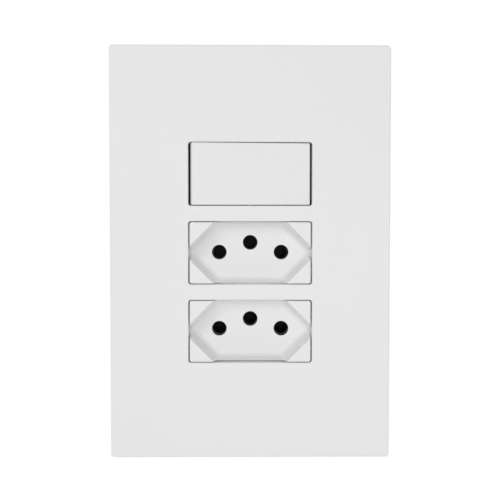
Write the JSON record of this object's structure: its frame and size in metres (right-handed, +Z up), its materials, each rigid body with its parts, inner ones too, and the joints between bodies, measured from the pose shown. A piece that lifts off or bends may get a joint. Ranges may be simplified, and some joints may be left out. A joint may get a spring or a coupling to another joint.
{
  "type": "light switch with socket outlets",
  "caption": "Wall plate with a rocker light switch above recessed round-pin socket outlets, on a snap-in mounting frame that screws to a wall box.",
  "frame": {"origin": "centre of the plate on the wall's surface, midway between the two wall box screws", "axes": "+X to the right as seen from the front, +Y into the wall, +Z up; the front faces -Y"},
  "size_m": [0.0834, 0.0322, 0.123],
  "materials": {
    "white_abs": "moulded white ABS with a soft gloss",
    "frame_plastic": "moulded nylon, light grey",
    "base_plastic": "moulded nylon, near black",
    "plunger_plastic": "moulded acetal, natural",
    "box_screw_steel": "zinc plated steel",
    "terminal_screw_steel": "zinc plated steel",
    "spring_steel": "drawn spring wire",
    "terminal_brass": "stamped brass sheet",
    "clamp_brass": "stamped brass sheet",
    "contact_copper": "stamped copper sheet",
    "contact_silver": "silver alloy contact"
  },
  "bodies": {
    "housing": {"cover_plate": "white_abs", "mounting_frame": "frame_plastic", "box_screw_top": "box_screw_steel", "box_screw_bottom": "box_screw_steel", "switch_bezel": "white_abs", "switch_base": "base_plastic", "common_terminal": "terminal_brass", "switched_terminal": "terminal_brass", "fixed_rivet": "contact_silver", "common_clamp": "clamp_brass", "switched_clamp": "clamp_brass", "common_screw": "terminal_screw_steel", "switched_screw": "terminal_screw_steel", "upper_face": "white_abs", "upper_base": "base_plastic", "upper_left_contact": "terminal_brass", "upper_left_clamp": "clamp_brass", "upper_left_screw": "terminal_screw_steel", "upper_right_contact": "terminal_brass", "upper_right_clamp": "clamp_brass", "upper_right_screw": "terminal_screw_steel", "upper_earth_contact": "terminal_brass", "upper_earth_clamp": "clamp_brass", "upper_earth_screw": "terminal_screw_steel", "lower_face": "white_abs", "lower_base": "base_plastic", "lower_left_contact": "terminal_brass", "lower_left_clamp": "clamp_brass", "lower_left_screw": "terminal_screw_steel", "lower_right_contact": "terminal_brass", "lower_right_clamp": "clamp_brass", "lower_right_screw": "terminal_screw_steel", "lower_earth_contact": "terminal_brass", "lower_earth_clamp": "clamp_brass", "lower_earth_screw": "terminal_screw_steel"},
    "key": {"rocker_key": "white_abs", "plunger_spring": "spring_steel"},
    "plunger": {"contact_plunger": "plunger_plastic"},
    "seesaw": {"seesaw_contact": "contact_copper", "moving_rivet": "contact_silver"}
  },
  "joints": [
    {"name": "key_rock", "type": "hinge", "parent": "housing", "child": "key", "pos_m": [0, -0.00415, 0.0235], "axis": [0, 0, -1], "range_deg": [0, 8]},
    {"name": "seesaw_rock", "type": "hinge", "parent": "housing", "child": "seesaw", "pos_m": [0, 0.012, 0.0235], "axis": [0, 0, 1], "range_deg": [0, 20]},
    {"name": "plunger_stroke", "type": "slide", "parent": "key", "child": "plunger", "axis": [0.0698, -0.9976, 0], "range_m": [0, 0.0008], "stiffness_N_per_m": 5, "springref_m": -0.0005, "deforming": ["plunger_spring"]}
  ],
  "couplings": [
    {"joint": "seesaw_rock", "follows": "key_rock", "ratio": 2.5}
  ]
}
